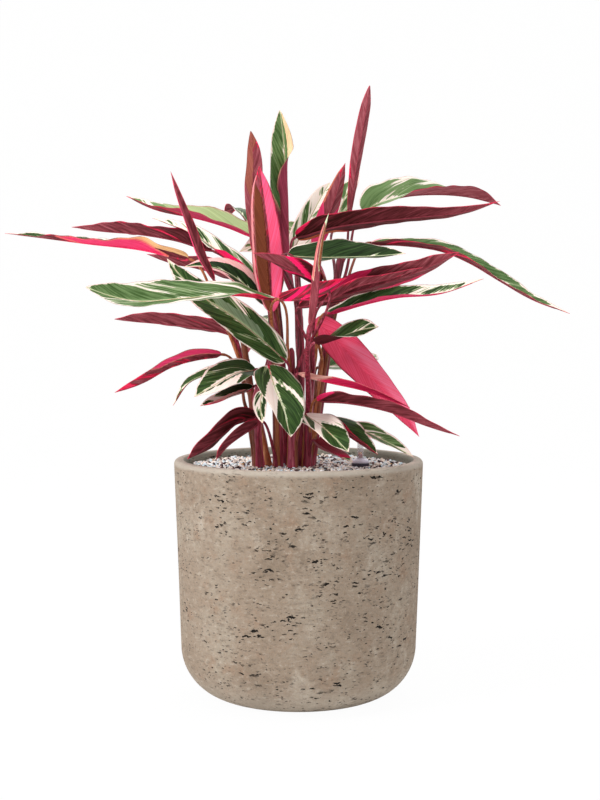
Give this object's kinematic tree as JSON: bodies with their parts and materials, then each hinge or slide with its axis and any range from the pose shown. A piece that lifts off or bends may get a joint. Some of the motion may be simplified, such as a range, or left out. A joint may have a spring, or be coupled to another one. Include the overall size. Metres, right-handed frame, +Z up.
{
  "type": "potted stromanthe",
  "caption": "Potted stromanthe: long folded leaves on canes, green and cream above and maroon beneath, in a round fibre-cement pot of mineral granules with a water gauge.",
  "frame": {"origin": "centre of the pot's flat base, on the surface that the plant stands on", "axes": "+Z up along the pot's axis; -Y towards the front of the plant; +X to the plant's right seen from the front"},
  "size_m": [0.719, 0.41, 0.787],
  "materials": {
    "fibre_cement": "dry, matt, pitted",
    "clear_plastic": "clear, polished",
    "frosted_plastic": "frosted, translucent",
    "float_red": "satin",
    "stem": "smooth, fleshy, satin",
    "leaf": "waxy, satin, variegated",
    "mineral_granules": "dry, loose, matt"
  },
  "bodies": {
    "root": {"gauge_collar": "frosted_plastic", "gauge_float": "float_red", "gauge_tube": "clear_plastic", "leaf_01_far_left": "leaf", "leaf_02_far_left_upper": "leaf", "leaf_03_left_cream": "leaf", "leaf_04_upper_left": "leaf", "leaf_05_back_left": "leaf", "leaf_06_left_spear": "leaf", "leaf_07_front_left_long": "leaf", "leaf_08_left_broad": "leaf", "leaf_09_left_dark": "leaf", "leaf_10_left_maroon": "leaf", "leaf_11_left_low_maroon": "leaf", "leaf_12_left_curved": "leaf", "leaf_13_front_left_green": "leaf", "leaf_14_left_grey": "leaf", "leaf_15_front_left_low": "leaf", "leaf_16_front_middle": "leaf", "leaf_17_front_left_small": "leaf", "leaf_18_rim_left_dark": "leaf", "leaf_19_rim_left_narrow": "leaf", "leaf_20_upright_left": "leaf", "leaf_21_upright_salmon": "leaf", "leaf_22_upright_tall": "leaf", "leaf_23_tallest": "leaf", "leaf_24_upright_right": "leaf", "leaf_25_back_cream": "leaf", "leaf_26_back_right": "leaf", "leaf_27_right_long_maroon": "leaf", "leaf_28_upper_right": "leaf", "leaf_29_right_drooping": "leaf", "leaf_30_front_right_dark": "leaf", "leaf_31_front_spear": "leaf", "leaf_32_front_crossing": "leaf", "leaf_33_front_short": "leaf", "leaf_34_right_maroon_pink": "leaf", "leaf_35_right_thin_maroon": "leaf", "leaf_36_right_green_long": "leaf", "leaf_37_right_hanging": "leaf", "leaf_38_right_small_twist": "leaf", "leaf_39_right_thin_crimson": "leaf", "leaf_40_right_low_maroon": "leaf", "leaf_41_front_right_cream": "leaf", "leaf_42_front_right_low": "leaf", "leaf_43_rim_right_striped": "leaf", "leaf_44_low_right_bit": "leaf", "leaf_45_back_right_low": "leaf", "leaf_46_back_low": "leaf", "leaf_47_back_middle": "leaf", "pot": "fibre_cement", "stem_1_left": "stem", "stem_2_left_back": "stem", "stem_3_middle": "stem", "stem_4_middle_back": "stem", "stem_5_front": "stem", "stem_6_back": "stem", "stem_7_right": "stem", "stem_8_right_back": "stem", "substrate": "mineral_granules"}
  },
  "joints": []
}
